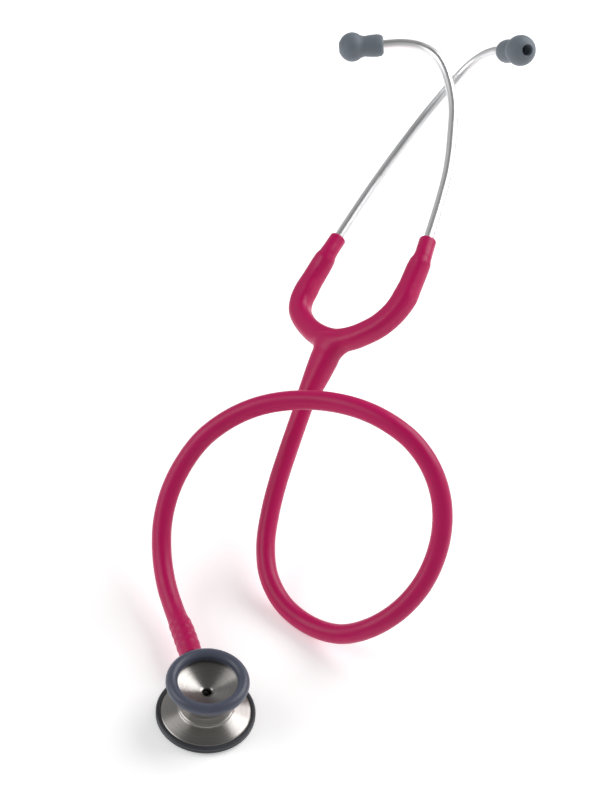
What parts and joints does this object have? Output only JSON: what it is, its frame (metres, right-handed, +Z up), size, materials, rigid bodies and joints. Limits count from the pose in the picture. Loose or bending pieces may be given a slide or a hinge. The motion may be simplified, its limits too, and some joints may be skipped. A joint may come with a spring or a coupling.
{
  "type": "stethoscope",
  "caption": "Dual-head stethoscope: crossed sprung ear tubes in a Y-shaped yoke, a free tube, and a turning chestpiece with a bell and a diaphragm.",
  "frame": {"origin": "inside the crotch of the Y-shaped yoke, where a finger or a peg holds it up", "axes": "+Y from the chestpiece towards the ear tips, +Z up out of the bell, +X to the right seen from above with the chestpiece nearest"},
  "size_m": [0.163, 0.3462, 0.2096],
  "materials": {
    "crimson_vinyl": "soft semi-gloss vinyl, raspberry red",
    "chrome": "polished chrome plating",
    "brushed_steel": "turned and finely brushed, warm grey",
    "spring_steel": "tempered, dark and smooth",
    "brass": "machined, lightly tarnished",
    "ear_silicone": "matte blue-grey silicone",
    "slate_rubber": "satin slate rubber",
    "diaphragm_resin": "fine-grained glass-filled resin sheet"
  },
  "bodies": {
    "yoke_and_tube": {"yoke": "crimson_vinyl", "tubing": "crimson_vinyl", "stem": "brushed_steel", "leaf_spring": "spring_steel", "stem_o_ring": "slate_rubber"},
    "left_arm": {"yoke_arm_left": "crimson_vinyl"},
    "right_arm": {"yoke_arm_right": "crimson_vinyl"},
    "left_ear_tube": {"ear_tube_left": "chrome", "spring_ferrule_left": "brass", "tip_nipple_left": "brass"},
    "right_ear_tube": {"ear_tube_right": "chrome", "spring_ferrule_right": "brass", "tip_nipple_right": "brass"},
    "left_ear_tip": {"ear_tip_left": "ear_silicone"},
    "right_ear_tip": {"ear_tip_right": "ear_silicone"},
    "chestpiece_head": {"chestpiece_body": "brushed_steel", "bell_ring": "slate_rubber", "diaphragm_rim": "slate_rubber", "stem_bushing": "brass", "detent_spring": "spring_steel", "detent_screw": "spring_steel"},
    "diaphragm": {"diaphragm": "diaphragm_resin"},
    "detent_ball": {"detent_ball": "spring_steel"}
  },
  "joints": [
    {"name": "left_arm_spread", "type": "hinge", "parent": "yoke_and_tube", "child": "left_arm", "pos_m": [-0.01934, 0.03421, 0.00034], "axis": [-0.4786, 0.2259, 0.8485], "range_deg": [-2, 40], "stiffness_Nm_per_rad": 1.6},
    {"name": "right_arm_spread", "type": "hinge", "parent": "yoke_and_tube", "child": "right_arm", "pos_m": [0.03, 0.00405, 0.0256], "axis": [0.4786, -0.2259, -0.8485], "range_deg": [-2, 40], "stiffness_Nm_per_rad": 1.6},
    {"name": "left_tube_swivel", "type": "hinge", "parent": "left_arm", "child": "left_ear_tube", "pos_m": [-0.00601, 0.05592, 0.01934], "axis": [0.4183, 0.7948, 0.4397], "range_deg": [-3, 20]},
    {"name": "right_tube_swivel", "type": "hinge", "parent": "right_arm", "child": "right_ear_tube", "pos_m": [0.03761, 0.02728, 0.04106], "axis": [0.1983, 0.8886, 0.4136], "range_deg": [-3, 20]},
    {"name": "left_tip_turn", "type": "hinge", "parent": "left_ear_tube", "child": "left_ear_tip", "pos_m": [0.06953, 0.11293, 0.10569], "axis": [0.3921, -0.8039, 0.4472], "continuous": true},
    {"name": "right_tip_turn", "type": "hinge", "parent": "right_ear_tube", "child": "right_ear_tip", "pos_m": [0.00505, 0.14173, 0.08854], "axis": [-0.9858, -0.0154, -0.1673], "continuous": true},
    {"name": "chestpiece_swivel", "type": "hinge", "parent": "yoke_and_tube", "child": "chestpiece_head", "pos_m": [-0.044, -0.175, -0.0788], "axis": [-0.3746, 0.9272, 0], "continuous": true},
    {"name": "diaphragm_press", "type": "slide", "parent": "chestpiece_head", "child": "diaphragm", "axis": [0, 0, 1], "range_m": [0, 0.0006], "stiffness_N_per_m": 2000},
    {"name": "detent_ball_drop", "type": "slide", "parent": "chestpiece_head", "child": "detent_ball", "axis": [0.9272, 0.3746, 0], "range_m": [0, 0.0003], "stiffness_N_per_m": 200, "springref_m": 0.0003}
  ],
  "couplings": [
    {"joint": "right_arm_spread", "follows": "left_arm_spread", "ratio": 1}
  ]
}
